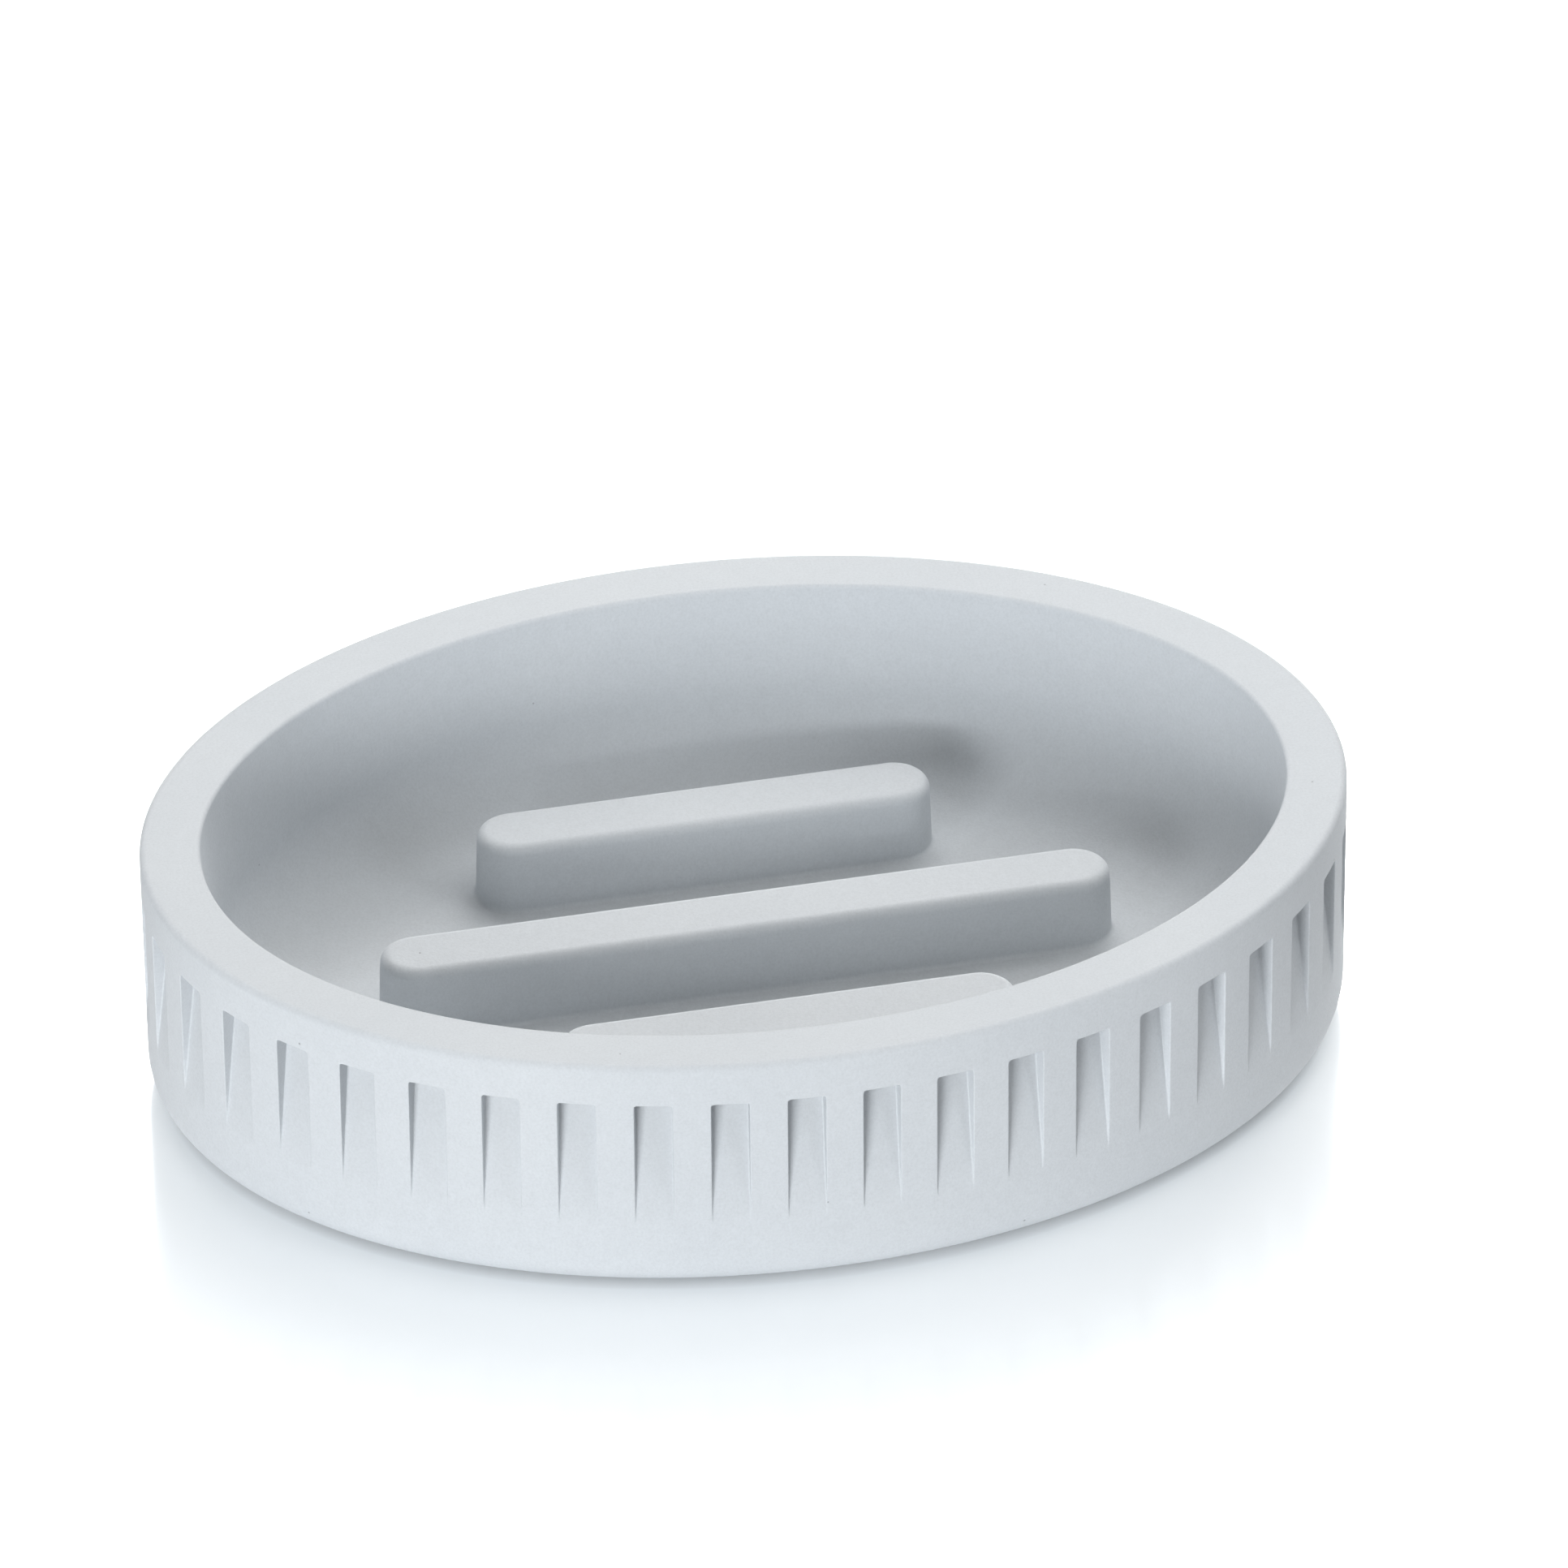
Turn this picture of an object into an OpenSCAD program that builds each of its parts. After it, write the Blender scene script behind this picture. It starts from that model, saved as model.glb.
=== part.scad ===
// Oval soap dish of cast polyresin, on four anti-slip pads.
// The long axis lies along X, the origin is on the table under the middle, and Z points up.

/* [Dish] */
// Overall length, along X
dish_length = 130; // [104:1:180]
// Overall width, along Y
dish_width = 96.7; // [86:0.1:130]
// Height of the casting, from its underside to its rim
dish_height = 29.1; // [26:0.1:45]
// How far the outer wall leans in, from the rim down to the underside
wall_draft = 0.45; // [0.1:0.05:2]
// Radius of the rounding under the outer wall
bottom_radius = 4.5; // [1:0.1:7]

/* [Rim] */
// Width of the flat rim
rim_width = 6.5; // [4:0.1:10]
// Radius of the rim's outer edge
outer_edge_radius = 0.8; // [0.3:0.1:1.8]
// Radius of the rim's inner edge
inner_edge_radius = 0.5; // [0.2:0.1:1.8]

/* [Bowl] */
// Thickness of the floor, from the underside of the casting
floor_thickness = 8; // [4:0.1:10]
// How far the inner wall leans in, from the rim down to the cove
bowl_draft = 1.2; // [0.2:0.1:4]
// Radius of the cove between the inner wall and the floor
cove_radius = 9; // [3:0.1:11]

/* [Soap ribs] */
// Length of the middle rib
middle_rib_length = 80; // [40:0.5:86]
// Length of the front and back ribs
side_rib_length = 50; // [20:0.5:54]
// Width of a rib at the floor
rib_width = 8.2; // [5:0.1:12]
// Height of the ribs above the floor
rib_height = 8.1; // [3:0.1:12]
// Spacing of the ribs, centre to centre
rib_spacing = 20.7; // [14:0.1:22]
// Radius along the top edge of a rib
rib_edge_radius = 1.2; // [0.3:0.1:2]
// How far each side of a rib leans in, from the floor to its top
rib_draft = 0.2; // [0.05:0.05:0.6]

/* [Notches] */
// Number of notches round the outer wall, placed clear of both axes
notch_count = 44; // [8:2:60]
// Width of a notch
notch_width = 4.07; // [2:0.01:5.5]
// Depth of a notch at its top
notch_depth = 1.95; // [0.6:0.05:3]
// Height of a notch
notch_height = 15.3; // [6:0.1:17]
// Distance from the rim down to the top of the notches
notch_drop = 4.85; // [2:0.05:6]

/* [Pads] */
// Diameter of a pad
pad_diameter = 12; // [8:0.1:16]
// Thickness of a pad
pad_thickness = 1.5; // [1.3:0.1:2.5]
// Size of the bevel round the foot of a pad
pad_bevel = 0.2; // [0.05:0.05:0.5]
// Depth of the recess that holds a pad
pad_recess_depth = 1.4; // [0.8:0.1:1.6]
// Gap between a pad and the wall of its recess
pad_clearance = 0.3; // [0.1:0.05:1]
// Distance from the outer wall in to the middle of a pad
pad_inset = 17; // [14:0.5:24]
// Bearing of the pads round the oval, from the long axis
pad_bearing = 40; // [25:1:60]

/* [Adhesive] */
// Thickness of the adhesive film over a pad
adhesive_thickness = 0.2; // [0.1:0.05:0.4]
// How far the film stops short of the pad's edge
adhesive_margin = 0.5; // [0.2:0.1:2]

/* [Hidden] */

// Overrun of every cutter past the surface it opens, and of every rib below the floor
overrun = 1;
half_length = dish_length / 2;
half_width = dish_width / 2;
// Height of the casting's underside above the table
stand = pad_thickness + adhesive_thickness - pad_recess_depth;

// Steps of each rounding, from one face to the next
bottom_steps = 5;
edge_steps = 2;
cove_steps = 6;
rib_steps = 3;
// Facets of the oval between one notch and the next
facets_per_notch = 3;
columns = notch_count * facets_per_notch;
// Steps of the table that measures the oval's edge
table_steps = 720;

dish_color = [0.85, 0.87, 0.89];
pad_color = [0.3, 0.31, 0.33];
adhesive_color = [0.93, 0.93, 0.9];

// The oval, by the parameter angle of its ellipse
function oval_point(t) = [half_length * cos(t), half_width * sin(t)];
function unit(v) = v / norm(v);
function oval_normal(t) = unit([half_width * cos(t), half_length * sin(t)]);
function inset_point(t, inset) = oval_point(t) - inset * oval_normal(t);

// Pairs of length along the edge and parameter angle, from the middle of the front
edge_table = [
    for (i = 0, s = 0, t = -90;
         i <= table_steps;
         i = i + 1,
         s = s + norm(oval_point(t + 360 / table_steps) - oval_point(t)),
         t = t + 360 / table_steps)
    [s, t]
];
edge_length = edge_table[table_steps][0];
function angle_at(share) = lookup(share * edge_length, edge_table);

// How far the outer wall stands in from the oval at a height above the underside
function wall_inset(z) = wall_draft * (dish_height - z) / dish_height;

// A quarter round from the first point to the second, as [inset, height] pairs;
// it leaves along the inset when flat_first, and along the height otherwise
function quarter_round(first, last, steps, flat_first) = [
    for (i = [0:steps])
        let (a = 90 * i / steps, rise = flat_first ? 1 - cos(a) : sin(a), run = flat_first ? sin(a) : 1 - cos(a))
        [first[0] + (last[0] - first[0]) * run, first[1] + (last[1] - first[1]) * rise]
];

bottom_inset = wall_inset(bottom_radius);
top_inset = wall_inset(dish_height - outer_edge_radius);
cove_inset = rim_width + bowl_draft;
floor_inset = cove_inset + cove_radius;

// Section of the shell from the edge of its underside, up, over the rim and down to the floor
shell_section = concat(
    quarter_round([bottom_inset + bottom_radius, 0], [bottom_inset, bottom_radius], bottom_steps, true),
    quarter_round([top_inset, dish_height - outer_edge_radius],
                  [top_inset + outer_edge_radius, dish_height], edge_steps, false),
    quarter_round([rim_width - inner_edge_radius, dish_height],
                  [rim_width, dish_height - inner_edge_radius], edge_steps, true),
    quarter_round([cove_inset, floor_thickness + cove_radius], [floor_inset, floor_thickness], cove_steps, false)
);

// Cast shell without its notches and ribs
module shell() {
    rings = len(shell_section);
    angles = [for (i = [0:columns - 1]) angle_at((i + 1 / 2) / columns)];
    points = [for (p = shell_section) for (t = angles) concat(inset_point(t, p[0]), [p[1]])];
    sides = [
        for (j = [0:rings - 2])
        for (i = [0:columns - 1])
            let (a = j * columns + i, b = j * columns + (i + 1) % columns, c = a + columns, d = b + columns)
            each [[a, c, b], [b, c, d]]
    ];
    underside = [for (i = [0:columns - 1]) i];
    bowl_floor = [for (i = [columns - 1:-1:0]) (rings - 1) * columns + i];
    polyhedron(points = points, faces = concat([underside], sides, [bowl_floor]));
}

// Wedge that cuts one notch, at the origin, with the wall facing +X
module notch_cutter() {
    top = dish_height - notch_drop;
    foot = top - notch_height;
    back = wall_inset(top) + notch_depth;
    flush = wall_inset(foot);
    slope = (back - flush) / notch_height;
    rotate([90, 0, 0])
        linear_extrude(notch_width, center = true)
            polygon([[-back, top], [overrun, top], [overrun, foot - (overrun + flush) / slope]]);
}

module notches() {
    for (k = [0:notch_count - 1]) {
        t = angle_at((k + 1 / 2) / notch_count);
        n = oval_normal(t);
        translate(oval_point(t))
            rotate([0, 0, atan2(n[1], n[0])])
                notch_cutter();
    }
}

// Half of a rib's section, from its middle out, with its foot sunk below the floor
module rib_half_section() {
    foot = rib_width / 2;
    lean = rib_draft / rib_height;
    shoulder = foot - rib_draft;
    polygon(concat(
        [[0, -overrun], [foot + lean * overrun, -overrun]],
        [for (i = [0:rib_steps])
            let (a = 90 * i / rib_steps)
            [shoulder - rib_edge_radius * (1 - cos(a)), rib_height - rib_edge_radius * (1 - sin(a))]],
        [[0, rib_height]]
    ));
}

// Rib with round ends, lying along X on the floor
module rib(length) {
    run = length - rib_width;
    translate([0, 0, floor_thickness]) {
        for (side = [-1, 1])
            translate([side * run / 2, 0, 0])
                rotate_extrude($fn = 64)
                    rib_half_section();
        rotate([90, 0, 90])
            linear_extrude(run, center = true) {
                rib_half_section();
                mirror([1, 0, 0])
                    rib_half_section();
            }
    }
}

// Middle of the pad on one side of each axis
function pad_place(side_x, side_y) = [
    side_x * (half_length - pad_inset) * cos(pad_bearing),
    side_y * (half_width - pad_inset) * sin(pad_bearing)
];

module dish_body() {
    color(dish_color)
        translate([0, 0, stand]) {
            difference() {
                shell();
                notches();
                for (side_x = [-1, 1])
                    for (side_y = [-1, 1])
                        translate(concat(pad_place(side_x, side_y), [-overrun]))
                            cylinder(h = overrun + pad_recess_depth, d = pad_diameter + 2 * pad_clearance, $fn = 64);
            }
            rib(middle_rib_length);
            for (side = [-1, 1])
                translate([0, side * rib_spacing, 0])
                    rib(side_rib_length);
        }
}

module foot_pad(side_x, side_y) {
    radius = pad_diameter / 2;
    color(pad_color)
        translate(pad_place(side_x, side_y))
            rotate_extrude($fn = 64)
                polygon([
                    [0, 0],
                    [radius - pad_bevel, 0],
                    [radius, pad_bevel],
                    [radius, pad_thickness],
                    [0, pad_thickness]
                ]);
}

module pad_adhesive(side_x, side_y) {
    color(adhesive_color)
        translate(concat(pad_place(side_x, side_y), [pad_thickness]))
            cylinder(h = adhesive_thickness, d = pad_diameter - 2 * adhesive_margin, $fn = 64);
}

dish_body();
foot_pad(-1, -1);  // foot_pad_front_left
foot_pad(1, -1);  // foot_pad_front_right
foot_pad(-1, 1);  // foot_pad_back_left
foot_pad(1, 1);  // foot_pad_back_right
pad_adhesive(-1, -1);  // pad_adhesive_front_left
pad_adhesive(1, -1);  // pad_adhesive_front_right
pad_adhesive(-1, 1);  // pad_adhesive_back_left
pad_adhesive(1, 1);  // pad_adhesive_back_right
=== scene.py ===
"""Oval soap dish of cast resin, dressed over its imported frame."""

import math

import bmesh
import bpy
import numpy as np
from mathutils import Matrix, Vector
from mathutils.geometry import delaunay_2d_cdt


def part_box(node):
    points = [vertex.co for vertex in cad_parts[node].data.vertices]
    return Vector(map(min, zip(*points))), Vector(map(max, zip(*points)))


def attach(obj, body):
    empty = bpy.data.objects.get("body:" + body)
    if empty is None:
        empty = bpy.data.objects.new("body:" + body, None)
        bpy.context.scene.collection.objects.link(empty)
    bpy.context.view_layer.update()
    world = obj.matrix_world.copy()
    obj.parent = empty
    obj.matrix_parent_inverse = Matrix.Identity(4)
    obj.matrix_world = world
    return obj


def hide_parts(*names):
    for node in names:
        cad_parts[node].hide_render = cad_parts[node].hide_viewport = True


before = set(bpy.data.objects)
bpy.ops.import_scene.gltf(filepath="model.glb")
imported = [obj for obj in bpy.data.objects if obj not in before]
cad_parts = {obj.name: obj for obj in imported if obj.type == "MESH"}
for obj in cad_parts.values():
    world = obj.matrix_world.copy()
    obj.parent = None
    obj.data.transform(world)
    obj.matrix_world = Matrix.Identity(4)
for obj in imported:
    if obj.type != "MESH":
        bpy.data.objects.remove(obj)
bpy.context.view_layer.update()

MM = 0.001
TURN = 2 * math.pi

# Driving sizes of the dish in millimetres, heights from the casting's underside
LENGTH, WIDTH, HEIGHT = 130.0, 96.7, 29.1
WALL_DRAFT, BOTTOM_RADIUS = 0.45, 4.5
RIM_WIDTH, OUTER_EDGE, INNER_EDGE = 6.5, 0.8, 0.5
FLOOR, BOWL_DRAFT, COVE = 8.0, 1.2, 9.0
RIB_LENGTHS = (50.0, 80.0, 50.0)
RIB_WIDTH, RIB_HEIGHT, RIB_SPACING = 8.2, 8.1, 20.7
RIB_EDGE, RIB_DRAFT, RIB_FOOT = 1.2, 0.2, 0.5
NOTCHES, NOTCH_WIDTH, NOTCH_DEPTH = 44, 4.07, 1.95
NOTCH_HEIGHT, NOTCH_DROP = 15.3, 4.85
NOTCH_LIP, NOTCH_LEAN, NOTCH_FILLET, NOTCH_CORNER = 0.1, 0.02, 0.16, 0.35
PAD_DIAMETER, PAD_CLEARANCE = 12.0, 0.3
RECESS_DEPTH, RECESS_LIP, RECESS_CORNER = 1.4, 0.25, 0.2

# Height of the casting's underside above the table, read from the frame
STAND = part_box("dish_body")[0].z / MM

HALF_LENGTH, HALF_WIDTH = LENGTH / 2, WIDTH / 2
NOTCH_TOP = HEIGHT - NOTCH_DROP
NOTCH_FOOT = NOTCH_TOP - NOTCH_HEIGHT

# Rows and columns of the mesh: plain rows under, in and over the notches,
# columns of the land between notches, and the plain middle of a notch
ROWS_UNDER = (5.4, 6.8, NOTCH_FOOT - 0.6)
ROWS_IN = (0.0, 0.25, 0.6, 1.1, 1.8, 2.8, 4.2, 6.0, 8.0, 10.0, 12.0, 13.6)
ROWS_OVER = (NOTCH_TOP + 1.0, NOTCH_TOP + 2.4)
LAND_SHARES = (1.0, 0.7, 0.42, 0.18)
PLAIN_EDGE, PLAIN_MIDDLE = 0.62, 0.75

# Shares of the way down the bowl's wall, rows up a rib and shares of the way along it
BOWL_SHARES = (0.15, 0.35, 0.55, 0.78)
RIB_ROWS = (2.2, 4.4, 6.0)
RIB_SHARES = (0.1, 0.3, 0.5, 0.7, 0.9)

# Steps of the roundings and the round forms
BOTTOM_STEPS, OUTER_STEPS, INNER_STEPS, COVE_STEPS = 12, 7, 6, 24
RIB_FOOT_STEPS, RIB_EDGE_STEPS, RIB_END_STEPS = 6, 8, 32
RECESS_LIP_STEPS, RECESS_CORNER_STEPS, RECESS_SIDES = 4, 3, 64
BOWL_COLUMNS = 12 * NOTCHES
EDGE_TABLE_STEPS, SLIDE_ROUNDS = 7200, 5


# The oval and its edge


def oval_point(t):
    return np.stack([HALF_LENGTH * np.cos(t), HALF_WIDTH * np.sin(t)], -1)


def oval_normal(t):
    n = np.stack([HALF_WIDTH * np.cos(t), HALF_LENGTH * np.sin(t)], -1)
    return n / np.linalg.norm(n, axis=-1, keepdims=True)


def inset_point(t, inset):
    return oval_point(t) - np.asarray(inset)[..., None] * oval_normal(t)


def speed(t):
    """Length of edge for each unit of the parameter angle."""
    return np.hypot(HALF_LENGTH * np.sin(t), HALF_WIDTH * np.cos(t))


TABLE_T = np.linspace(-math.pi / 2, 1.5 * math.pi, EDGE_TABLE_STEPS + 1)
TABLE_STEPS = np.linalg.norm(np.diff(oval_point(TABLE_T), axis=0), axis=1)
TABLE_S = np.concatenate([[0], np.cumsum(TABLE_STEPS)])
EDGE = TABLE_S[-1]


def angle_at(share):
    """The oval's parameter angle at a share of its edge from the middle of the front."""
    share = np.asarray(share, float)
    whole = np.floor(share)
    return np.interp((share - whole) * EDGE, TABLE_S, TABLE_T) + TURN * whole


def wall_inset(z):
    return WALL_DRAFT * (HEIGHT - z) / HEIGHT


def quarter(first, last, steps, flat_first):
    """Quarter round from one (inset, height) to the next."""
    out = []
    for i in range(steps + 1):
        a = math.pi / 2 * i / steps
        rise = 1 - math.cos(a) if flat_first else math.sin(a)
        run = math.sin(a) if flat_first else 1 - math.cos(a)
        out.append((first[0] + (last[0] - first[0]) * run, first[1] + (last[1] - first[1]) * rise))
    return out


# Mesh store


class Store:
    """Points in millimetres and faces of one mesh."""

    def __init__(self):
        self.points, self.faces = [], []

    def add(self, points):
        start = len(self.points)
        self.points.extend([tuple(map(float, p)) for p in points])
        return list(range(start, len(self.points)))

    def ring(self, xy, z):
        return self.add([(x, y, z) for x, y in xy])

    def oval(self, t, inset, z):
        """Ring that follows the oval at an inset."""
        return self.ring(inset_point(t, np.full(t.shape, inset)), z)

    def bridge(self, rings):
        """Faces between each ring and the next."""
        for low, high in zip(rings, rings[1:]):
            n = len(low)
            for i in range(n):
                j = (i + 1) % n
                self.faces.append((low[i], low[j], high[j], high[i]))

    def fill(self, outer, holes=()):
        """Fills a flat area inside one convex ring and outside others."""
        rings = [outer, *holes]
        ids = [i for ring in rings for i in ring]
        owner = [k for k, ring in enumerate(rings) for _ in ring]
        flat = [Vector(self.points[i][:2]) for i in ids]
        edges, start = [], 0
        for ring in rings:
            n = len(ring)
            edges += [(start + i, start + (i + 1) % n) for i in range(n)]
            start += n
        out = delaunay_2d_cdt(flat, edges, [], 0, 1e-7)
        back = [src[0] for src in out[3]]
        for tri in out[2]:
            corner = [back[v] for v in tri]
            ring = {owner[c] for c in corner}
            if len(ring) == 1 and 0 not in ring:
                continue
            self.faces.append(tuple(ids[c] for c in corner))

    def mesh(self, name):
        mesh = bpy.data.meshes.new(name)
        mesh.from_pydata([Vector(p) * MM for p in self.points], [], self.faces)
        bm = bmesh.new()
        bm.from_mesh(mesh)
        bmesh.ops.recalc_face_normals(bm, faces=bm.faces)
        bm.to_mesh(mesh)
        bm.free()
        mesh.shade_smooth()
        mesh.update()
        return mesh


# Section of a notch's wall as (offset, depth), from the land over the lip and down to the back
LIP_TURNS = [math.radians(a) for a in (0, 30, 60, 90)]
LIP_STEPS = [(-NOTCH_LIP * (1 - math.sin(a)), NOTCH_LIP * (1 - math.cos(a))) for a in LIP_TURNS]
FOOT_STEPS = [
    (NOTCH_LEAN + NOTCH_FILLET * (1 - math.cos(a)), -NOTCH_FILLET * (1 - math.sin(a)))
    for a in LIP_TURNS
]
SIDE_STEPS = [(-NOTCH_LIP * 2.2, 0.0)] + LIP_STEPS + FOOT_STEPS
SIDE_X = [x for x, _ in SIDE_STEPS]
LIP_COUNT = 1 + len(LIP_STEPS)
SIDE_FULL = NOTCH_LIP + NOTCH_FILLET

# Marks of the columns and rows that lie outside the section: the land, and the notch's back
LAND, BACK = -1, None


def side_depth(step, depth):
    """Depth at a step of the wall's section, where the notch as a whole is that deep."""
    if step is BACK:
        return depth
    full = np.maximum(depth, SIDE_FULL)
    own = SIDE_STEPS[step][1] + (full if step >= LIP_COUNT else 0)
    return own * np.where(depth < SIDE_FULL, depth / SIDE_FULL, 1.0)


def round_corner(side, up):
    """Place in the rounded corner of a notch's ceiling, by its distances from side and ceiling."""
    reach = NOTCH_CORNER - min(side, up)
    if max(side, up) >= NOTCH_CORNER or reach <= 0:
        return side, up
    turn = math.pi / 4 * (NOTCH_CORNER - max(side, up)) / reach
    far, near = NOTCH_CORNER - reach * math.sin(turn), NOTCH_CORNER - reach * math.cos(turn)
    return (near, far) if side <= up else (far, near)


def notch_columns():
    """Columns of one notch and the land beside it, as (offset, step of the side's section)."""
    half, pitch = NOTCH_WIDTH / 2, EDGE / NOTCHES
    left = [(x - half, i) for i, x in enumerate(SIDE_X)]
    plain = (PLAIN_EDGE - half, -PLAIN_MIDDLE, 0.0, PLAIN_MIDDLE, half - PLAIN_EDGE)
    right = [(-y, i) for y, i in reversed(left)]
    outside = left[0][0]
    land = [(outside - (outside + pitch / 2) * f, LAND) for f in LAND_SHARES]
    land_right = [(-y, LAND) for y, _ in reversed(land[1:])]
    return land + left + [(y, BACK) for y in plain] + right + land_right


def notch_rows():
    """Rows of the wall across the notches, as (height, step of the ceiling's section)."""
    rows = [(NOTCH_FOOT + up, BACK) for up in ROWS_IN] + [(NOTCH_TOP - PLAIN_EDGE, BACK)]
    return rows + [(NOTCH_TOP - x, i) for i, x in reversed(list(enumerate(SIDE_X)))]


def notch_cell(middle, cell, rows):
    """Points of the wall round one notch, and how deep each is sunk."""
    origin, normal = oval_point(middle), oval_normal(middle)
    tangent = np.array([-normal[1], normal[0]])
    Y, Z = np.meshgrid([y for y, _ in cell], [z for z, _ in rows])
    half = NOTCH_WIDTH / 2
    for r, (z, row_step) in enumerate(rows):
        for c, (y, step) in enumerate(cell):
            if row_step is BACK or step is BACK or step < 1 or row_step < 1:
                continue
            side, up = round_corner(half - abs(y), NOTCH_TOP - z)
            Y[r, c], Z[r, c] = math.copysign(half - side, y), NOTCH_TOP - up

    # Slide each column along the wall until it lies at its own offset
    inset = wall_inset(Z)
    t = middle + Y / speed(middle)
    for _ in range(SLIDE_ROUNDS):
        gap = (inset_point(t, inset) - origin) @ tangent - Y
        t = t - gap / speed(t)
    place = inset_point(t, inset)

    # The notch's back is a plane that leans in from its foot to its top
    back, flush = wall_inset(NOTCH_TOP) + NOTCH_DEPTH, wall_inset(NOTCH_FOOT)
    plane = flush + (back - flush) * (Z - NOTCH_FOOT) / NOTCH_HEIGHT
    depth = np.maximum(0.0, plane + (place - origin) @ normal)
    sunk = np.zeros_like(depth)
    for r, (_, row_step) in enumerate(rows):
        for c, (_, step) in enumerate(cell):
            if step != LAND:
                d = depth[r, c]
                sunk[r, c] = min(side_depth(step, d), side_depth(row_step, d))
    place = place - sunk[..., None] * normal
    return np.concatenate([place, Z[..., None]], -1), sunk


def outer_wall(s):
    """Wall from the underside to the rim: its end rings, its notched rows and their depths."""
    cell, rows = notch_columns(), notch_rows()
    offset = np.array([y for y, _ in cell])
    middles = (np.arange(NOTCHES) + 0.5) / NOTCHES
    around = angle_at((middles[:, None] + offset[None, :] / EDGE).ravel())
    cells = [notch_cell(float(angle_at(m)), cell, rows) for m in middles]
    grid = np.concatenate([points for points, _ in cells], 1)
    sunk = np.concatenate([sunk for _, sunk in cells], 1)

    low, top = wall_inset(BOTTOM_RADIUS), wall_inset(HEIGHT - OUTER_EDGE)
    bottom = quarter((low + BOTTOM_RADIUS, 0), (low, BOTTOM_RADIUS), BOTTOM_STEPS, True)
    edge = quarter((top, HEIGHT - OUTER_EDGE), (top + OUTER_EDGE, HEIGHT), OUTER_STEPS, False)
    rings = [s.oval(around, i, z) for i, z in bottom]
    rings += [s.oval(around, wall_inset(z), z) for z in ROWS_UNDER]
    notched = [s.add(row) for row in grid]
    rings += notched
    rings += [s.oval(around, wall_inset(z), z) for z in ROWS_OVER]
    rings += [s.oval(around, i, z) for i, z in edge]
    s.bridge(rings)
    return rings[0], rings[-1], np.array(notched), sunk


def bowl(s):
    """Inside of the bowl, from the rim's inner edge down to the floor, as its end rings."""
    around = angle_at(np.arange(BOWL_COLUMNS) / BOWL_COLUMNS)
    edge = (RIM_WIDTH - INNER_EDGE, HEIGHT), (RIM_WIDTH, HEIGHT - INNER_EDGE)
    section = quarter(*edge, INNER_STEPS, True)
    top, foot = section[-1], (RIM_WIDTH + BOWL_DRAFT, FLOOR + COVE)
    section += [
        (top[0] + (foot[0] - top[0]) * f, top[1] + (foot[1] - top[1]) * f) for f in BOWL_SHARES
    ]
    section += quarter(foot, (foot[0] + COVE, FLOOR), COVE_STEPS, False)
    rings = [s.oval(around, i, z) for i, z in section]
    s.bridge(rings)
    return rings[0], rings[-1]


def rib(s, length, y0):
    """One rib, from its foot's fillet up over its rounded edge, as the ring of its foot."""
    run, half, lean = length - RIB_WIDTH, RIB_WIDTH / 2, RIB_DRAFT / RIB_HEIGHT
    shoulder = half - RIB_DRAFT
    foot = (half + RIB_FOOT, 0), (half - lean * RIB_FOOT, RIB_FOOT)
    edge = (shoulder, RIB_HEIGHT - RIB_EDGE), (shoulder - RIB_EDGE, RIB_HEIGHT)
    section = quarter(*foot, RIB_FOOT_STEPS, True)
    section += [(half - lean * h, h) for h in RIB_ROWS]
    section += quarter(*edge, RIB_EDGE_STEPS, False)
    ends = np.linspace(-math.pi / 2, math.pi / 2, RIB_END_STEPS + 1)
    side = [run / 2 - run * f for f in RIB_SHARES]
    rings = []
    for radius, z in section:
        outline = [(run / 2 + radius * math.cos(a), y0 + radius * math.sin(a)) for a in ends]
        outline += [(x, y0 + radius) for x in side]
        outline += [(-run / 2 - radius * math.cos(a), y0 - radius * math.sin(a)) for a in ends]
        outline += [(-x, y0 - radius) for x in side]
        rings.append(s.ring(outline, FLOOR + z))
    s.bridge(rings)
    s.fill(rings[-1])
    return rings[0]


def recess(s, corner):
    """Recess for one pad, in the underside, as the ring of its mouth."""
    lo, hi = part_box("foot_pad_" + corner)
    centre = ((lo + hi) / 2) / MM
    radius = PAD_DIAMETER / 2 + PAD_CLEARANCE
    wall_top, roof = RECESS_DEPTH - RECESS_CORNER, (radius - RECESS_CORNER, RECESS_DEPTH)
    section = quarter((radius + RECESS_LIP, 0), (radius, RECESS_LIP), RECESS_LIP_STEPS, True)
    section += quarter((radius, wall_top), roof, RECESS_CORNER_STEPS, False)
    turn = np.linspace(0, TURN, RECESS_SIDES + 1)[:-1]
    rings = [
        s.ring([(centre.x + r * math.cos(a), centre.y + r * math.sin(a)) for a in turn], z)
        for r, z in section
    ]
    s.bridge(rings)
    s.fill(rings[-1])
    return rings[0]


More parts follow.
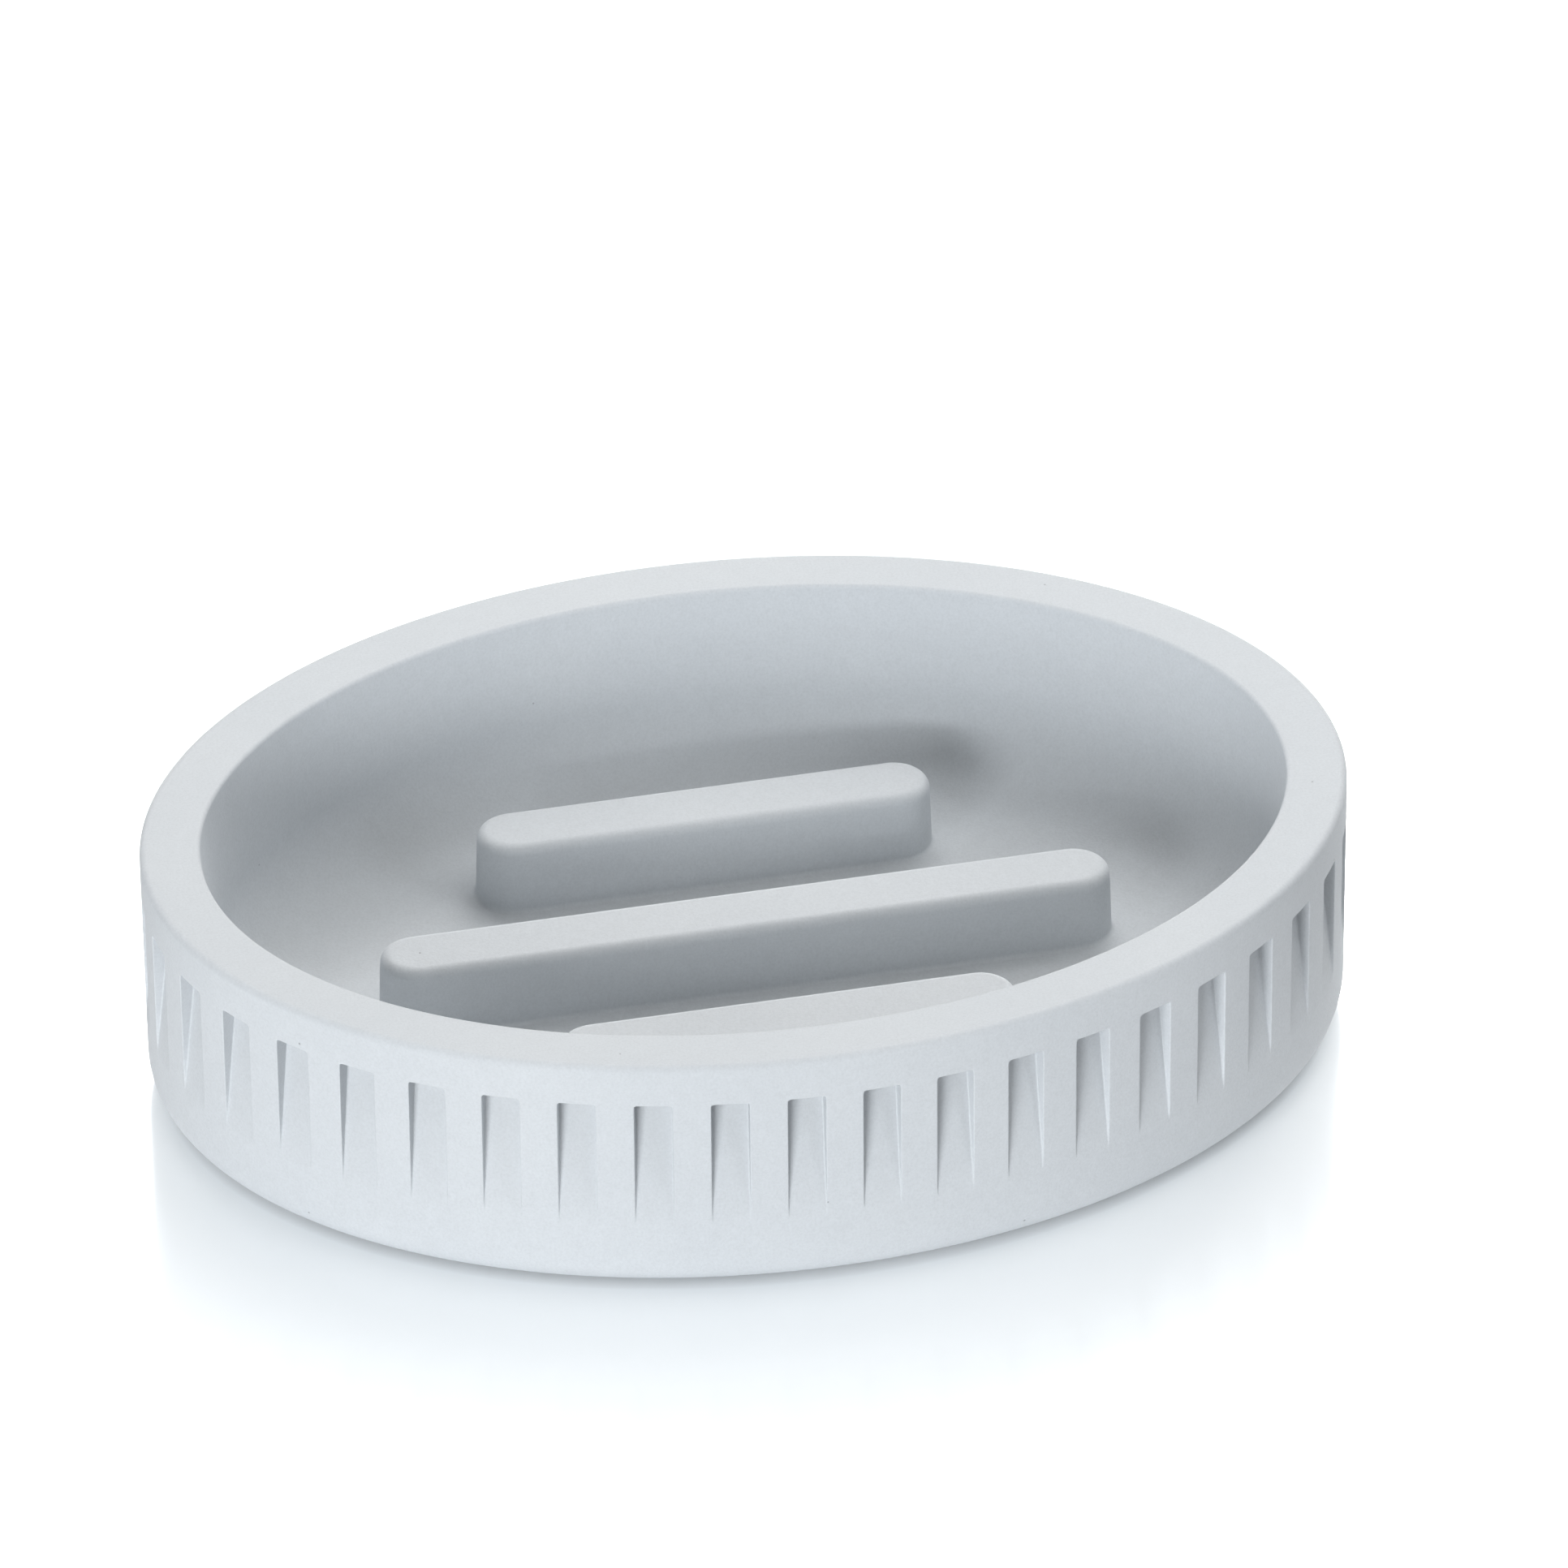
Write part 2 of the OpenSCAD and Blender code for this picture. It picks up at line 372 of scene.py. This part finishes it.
def dish_mesh():
    s = Store()
    underside, rim_outer, notched, sunk = outer_wall(s)
    rim_inner, bowl_floor = bowl(s)
    s.fill(rim_outer, [rim_inner])
    feet = [rib(s, length, (n - 1) * RIB_SPACING) for n, length in enumerate(RIB_LENGTHS)]
    s.fill(bowl_floor, feet)
    corners = ("front_left", "front_right", "back_left", "back_right")
    s.fill(underside, [recess(s, corner) for corner in corners])

    # The oval here is finer than the solid's facets, so it is drawn in to the solid's box
    low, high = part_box("dish_body")
    draw_x = (high.x - low.x) / MM / 2 / max(p[0] for p in s.points)
    draw_y = (high.y - low.y) / MM / 2 / max(p[1] for p in s.points)
    s.points = [(x * draw_x, y * draw_y, z + STAND) for x, y, z in s.points]
    mesh = s.mesh("dish")
    # How deep each point is sunk into a notch, which drives the material's painted shade
    depth = np.zeros(len(s.points))
    depth[notched] = sunk / NOTCH_DEPTH
    mesh.attributes.new("notch_depth", "FLOAT", "POINT").data.foreach_set("value", depth)
    return mesh


def new_object(name, mesh):
    obj = bpy.data.objects.new(name, mesh)
    bpy.context.scene.collection.objects.link(obj)
    return obj


# Materials


class Nodes:
    """Short hand for the nodes of a material or a world."""

    def __init__(self, owner, output="OutputMaterial"):
        owner.use_nodes = True
        self.owner, self.tree = owner, owner.node_tree
        self.tree.nodes.clear()
        self.out = self.new(output)

    def put(self, socket, value):
        """Links a socket to another node's output, or sets it to a plain value."""
        if isinstance(value, bpy.types.NodeSocket):
            self.tree.links.new(value, socket)
        else:
            socket.default_value = value

    def new(self, kind, sockets=(), **settings):
        """New node, with sockets given by name or number."""
        node = self.tree.nodes.new("ShaderNode" + kind)
        for key, value in settings.items():
            setattr(node, key, value)
        for key, value in dict(sockets).items():
            self.put(node.inputs[key], value)
        return node

    def noise(self, where, size, detail=2.0, rough=0.5):
        sockets = {"Vector": where, "Scale": 1 / (size * MM), "Detail": detail, "Roughness": rough}
        return self.new("TexNoise", sockets, noise_dimensions="3D").outputs["Fac"]

    def ramp(self, value, stops):
        node = self.new("ValToRGB", {"Fac": value})
        ramp = node.color_ramp
        ramp.elements[0].position, ramp.elements[0].color = stops[0]
        ramp.elements[1].position, ramp.elements[1].color = stops[-1]
        for place, color in stops[1:-1]:
            ramp.elements.new(place).color = color
        return node.outputs["Color"]

    def span(self, value, low, high):
        sockets = {"Value": value, "To Min": low, "To Max": high}
        return self.new("MapRange", sockets).outputs["Result"]

    def calc(self, operation, a, b):
        return self.new("Math", {0: a, 1: b}, operation=operation).outputs[0]

    def blend(self, kind, factor, a, b):
        node = self.new("Mix", data_type="RGBA", blend_type=kind)
        for name, value in (("Factor", factor), ("A", a), ("B", b)):
            self.put([i for i in node.inputs if i.name == name and i.enabled][0], value)
        return [o for o in node.outputs if o.enabled][0]

    def bump(self, height, strength, depth, under=None):
        """Bump of a depth in millimetres, over another bump if one is given."""
        sockets = {"Strength": strength, "Distance": depth * MM, "Height": height}
        if under is not None:
            sockets["Normal"] = under
        return self.new("Bump", sockets).outputs["Normal"]

    def add(self, a, b):
        return self.new("AddShader", {0: a, 1: b}).outputs[0]

    def mix(self, factor, a, b):
        return self.new("MixShader", {0: factor, 1: a, 2: b}).outputs[0]

    def surface(self, color, roughness, specular, normal):
        """Ends the material in one plain shader."""
        sockets = {"Base Color": color, "Roughness": roughness, "Normal": normal}
        sockets["Specular IOR Level"] = specular
        shader = self.new("BsdfPrincipled", sockets)
        self.put(self.out.inputs["Surface"], shader.outputs["BSDF"])
        return self.owner


def grey(v):
    return (v, v, v, 1.0)


RESIN_SHADES = (0.562, 0.588, 0.612, 1), (0.582, 0.607, 0.629, 1)
RESIN_CLOUD, RESIN_MOTTLE, RESIN_GRAIN = 22.0, 1.6, 0.28
RESIN_ROUGH, RESIN_SPECULAR = (0.66, 0.80), 0.2
# Painted shade: share of the colour left at the deepest point of a notch
NOTCH_PAINTED_SHADE = 0.90
PIT_SPACING, PIT_COLOR = 6.5, (0.30, 0.31, 0.33, 1)
PIT_EDGE = [(0.0, grey(0.0)), (0.014, grey(0.25)), (0.024, grey(1.0))]

RUBBER_SHADES = (0.088, 0.088, 0.093, 1), (0.118, 0.118, 0.122, 1)
RUBBER_CLOUD, RUBBER_GRAIN = 2.5, 0.18
RUBBER_ROUGH, RUBBER_SPECULAR = (0.68, 0.9), 0.35

FILM_SHADES = (0.80, 0.80, 0.74, 1), (0.88, 0.88, 0.83, 1)
FILM_CLOUD = 1.4
FILM_ROUGH, FILM_SPECULAR = (0.35, 0.55), 0.5


def shades(pair):
    return [(0.3, pair[0]), (0.7, pair[1])]


def resin():
    n = Nodes(bpy.data.materials.new("cast_resin"))
    where = n.new("TexCoord").outputs["Object"]
    mottle = n.noise(where, RESIN_MOTTLE, 3.0, 0.6)
    grain = n.noise(where, RESIN_GRAIN, 2.0, 0.6)
    base = n.ramp(n.noise(where, RESIN_CLOUD), shades(RESIN_SHADES))
    speck = n.ramp(grain, [(0.3, grey(0.955)), (0.5, grey(1.0)), (0.72, grey(1.035))])
    soft = n.ramp(mottle, shades((grey(0.985), grey(1.012))))
    color = n.blend("MULTIPLY", 1.0, base, speck)
    color = n.blend("MULTIPLY", 1.0, color, soft)

    # Painted shade: the colour darkens towards the depth of the notches, where shade falls
    depth = n.new("Attribute", attribute_type="GEOMETRY", attribute_name="notch_depth")
    color = n.blend("MULTIPLY", 1.0, color, n.span(depth.outputs["Fac"], 1.0, NOTCH_PAINTED_SHADE))

    # Sparse dark pits, left where air met the mould
    sockets = {"Vector": where, "Scale": 1 / (PIT_SPACING * MM), "Randomness": 1.0}
    cells = n.new("TexVoronoi", sockets, feature="F1", distance="EUCLIDEAN")
    pit = n.ramp(cells.outputs["Distance"], PIT_EDGE)
    color = n.blend("MIX", pit, PIT_COLOR, color)

    normal = n.bump(pit, 0.6, 0.1, n.bump(grain, 0.35, 0.06))
    return n.surface(color, n.span(mottle, *RESIN_ROUGH), RESIN_SPECULAR, normal)


def rubber():
    n = Nodes(bpy.data.materials.new("pad_rubber"))
    where = n.new("TexCoord").outputs["Object"]
    color = n.ramp(n.noise(where, RUBBER_CLOUD, 3.0, 0.6), shades(RUBBER_SHADES))
    grain = n.noise(where, RUBBER_GRAIN, 3.0, 0.7)
    normal = n.bump(grain, 0.6, 0.08)
    return n.surface(color, n.span(grain, *RUBBER_ROUGH), RUBBER_SPECULAR, normal)


def film():
    n = Nodes(bpy.data.materials.new("adhesive_film"))
    where = n.new("TexCoord").outputs["Object"]
    cloud = n.noise(where, FILM_CLOUD, 3.0, 0.6)
    normal = n.bump(cloud, 0.3, 0.05)
    color = n.ramp(cloud, shades(FILM_SHADES))
    return n.surface(color, n.span(cloud, *FILM_ROUGH), FILM_SPECULAR, normal)


# The object's pieces

dish = new_object("dish_casting", dish_mesh())
dish.data.materials.append(resin())
weighted = dish.modifiers.new("face_weighted_normals", "WEIGHTED_NORMAL")
weighted.mode = "FACE_AREA"
weighted.weight = 50
weighted.keep_sharp = False
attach(dish, "root")
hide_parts("dish_body")

pad_material, film_material = rubber(), film()
for name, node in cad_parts.items():
    if name.startswith(("foot_pad_", "pad_adhesive_")):
        is_pad = name.startswith("foot_pad_")
        node.data.materials.clear()
        node.data.materials.append(pad_material if is_pad else film_material)


# Stage: a white table with a faint shine, under a white surround

FLOOR_HALF = 3.0
TABLE_COLOR, FLOOR_BOUNCE = 0.82, 0.66
CAMERA_LIFT, LIFT_COLOR, LIFT_COVER = 0.39, (0.91, 1.0, 1.05, 1), 1.3
SHINE, SHINE_START, SHINE_REACH, SHINE_ROUGH = 0.42, 0.93, 40.0, 0.12
LAMP_SHINE, LAMP_SHINE_ROUGH = 0.65, 0.2


def table_material():
    n = Nodes(bpy.data.materials.new("white_table"))

    # Share of the way out from the dish's base, for a shine that fades with distance
    where = n.new("TexCoord").outputs["Object"]
    per_radius = (1 / (HALF_LENGTH * MM), 1 / (HALF_WIDTH * MM), 0)
    ellipse = n.new("VectorMath", {0: where, 1: per_radius}, operation="MULTIPLY")
    reach = n.new("VectorMath", {0: ellipse.outputs["Vector"]}, operation="LENGTH")
    sockets = {
        "Value": reach.outputs["Value"],
        "From Min": SHINE_START,
        "From Max": SHINE_START + SHINE_REACH / HALF_WIDTH,
        "To Min": SHINE,
        "To Max": 0.0,
    }
    fade = n.new("MapRange", sockets, interpolation_type="SMOOTHSTEP").outputs["Result"]

    # What the camera and glossy rays see: white paint, lifted by a glow that fades where the dish
    # covers it, a painted shade that deepens the real contact shadow at its base
    paint = n.new("BsdfDiffuse", {"Color": grey(TABLE_COLOR)}).outputs["BSDF"]
    cover = n.new("AmbientOcclusion", {"Distance": LIFT_COVER * MM}, samples=12)
    strength = n.span(cover.outputs["AO"], 0.0, CAMERA_LIFT)
    lift = n.new("Emission", {"Color": LIFT_COLOR, "Strength": strength}).outputs["Emission"]
    glossy = n.new("BsdfGlossy", {"Color": grey(1.0), "Roughness": SHINE_ROUGH}).outputs["BSDF"]
    shone = n.mix(fade, n.add(paint, lift), glossy)

    # What the dish gets back from the table: plain bounce, and the lamps' own shine
    bounce = n.new("BsdfDiffuse", {"Color": grey(FLOOR_BOUNCE)}).outputs["BSDF"]
    sockets = {"Color": n.span(fade, 0.0, LAMP_SHINE / SHINE), "Roughness": LAMP_SHINE_ROUGH}
    mirror = n.new("BsdfGlossy", sockets).outputs["BSDF"]

    path = n.new("LightPath").outputs
    seen = n.calc("MAXIMUM", path["Is Camera Ray"], path["Is Glossy Ray"])
    n.put(n.out.inputs["Surface"], n.mix(seen, n.add(bounce, mirror), shone))
    return n.owner


table_mesh = bpy.data.meshes.new("table")
corners = [(x * FLOOR_HALF, y * FLOOR_HALF, 0) for x, y in [(-1, -1), (1, -1), (1, 1), (-1, 1)]]
table_mesh.from_pydata(corners, [], [(0, 1, 2, 3)])
table = new_object("table", table_mesh)
table_mesh.materials.append(table_material())

# The surround is white to the camera and to glossy rays, and gives the dish no light
scene = bpy.context.scene
scene.world = bpy.data.worlds.new("surround")
n = Nodes(scene.world, "OutputWorld")
path = n.new("LightPath").outputs
before_bounce = n.calc("LESS_THAN", path["Diffuse Depth"], 0.5)
shiny = n.calc("MULTIPLY", path["Is Glossy Ray"], before_bounce)
seen = n.calc("MAXIMUM", path["Is Camera Ray"], shiny)
white = n.new("Background", {"Color": grey(1.0), "Strength": seen})
n.put(n.out.inputs["Surface"], white.outputs["Background"])

# Softboxes: name, compass from the right towards the back, rise, size, watts, colour
LAMP_DISTANCE = 1.2
SOFTBOXES = [
    ("key", 227, 17, 0.4, 5.1, (0.974, 1.0, 1.02)),
    ("key_low", 226, 6, 0.24, 1.7, (0.985, 1.0, 1.02)),
    ("key_front", 241, 10, 0.3, 5.6, (0.975, 1.0, 1.025)),
    ("side_low", 323, 10, 0.3, 1.1, (0.945, 0.993, 1.06)),
    ("side", 320, 24, 0.3, 1.0, (0.96, 0.995, 1.04)),
    ("side_high", 0, 62, 0.8, 4.0, (1.005, 1.005, 0.99)),
    ("back_side", 60, 30, 0.5, 5.3, (1.01, 1.0, 0.99)),
    ("back", 90, 38, 0.8, 3.7, (1.008, 1.0, 0.992)),
    ("back_top", 75, 55, 0.8, 5.0, (1.01, 1.0, 0.99)),
    ("back_left", 140, 38, 0.8, 0.4, (1.005, 1.0, 0.995)),
    ("top", 90, 88, 0.8, 2.3, (1.0, 1.0, 0.996)),
]
for name, compass, rise, size, power, color in SOFTBOXES:
    data = bpy.data.lights.new(name, "AREA")
    data.shape = "SQUARE"
    data.size = size
    data.energy = power
    data.color = color
    lamp = bpy.data.objects.new(name, data)
    scene.collection.objects.link(lamp)
    a, e = math.radians(compass), math.radians(rise)
    aim = Vector((math.cos(a) * math.cos(e), math.sin(a) * math.cos(e), math.sin(e)))
    lamp.location = aim * LAMP_DISTANCE
    lamp.rotation_euler = aim.to_track_quat("Z", "Y").to_euler()

# Camera: a long lens, as the photograph was taken, with its place in millimetres
AZIMUTH, ELEVATION, ROLL = math.radians(-12.30), math.radians(33.73), math.radians(-0.70)
DISTANCE, SLIDE, LIFT = 3000.0, 3.94, 26.67
LENS, SENSOR = 643.8, 36.0
back = Vector((
    math.sin(AZIMUTH) * math.cos(ELEVATION),
    -math.cos(AZIMUTH) * math.cos(ELEVATION),
    math.sin(ELEVATION),
))
level = (-back).cross(Vector((0, 0, 1))).normalized()
upright = level.cross(-back)
right = level * math.cos(ROLL) + upright * math.sin(ROLL)
up = upright * math.cos(ROLL) - level * math.sin(ROLL)
place = back * DISTANCE + right * SLIDE + up * LIFT + Vector((0, 0, STAND))
camera_data = bpy.data.cameras.new("camera")
camera_data.sensor_fit = "HORIZONTAL"
camera_data.sensor_width = SENSOR
camera_data.lens = LENS
camera = bpy.data.objects.new("camera", camera_data)
scene.collection.objects.link(camera)
turn = Matrix((right, up, back)).transposed().to_4x4()
camera.matrix_world = Matrix.Translation(place * MM) @ turn
scene.camera = camera

scene.view_settings.view_transform = "Standard"
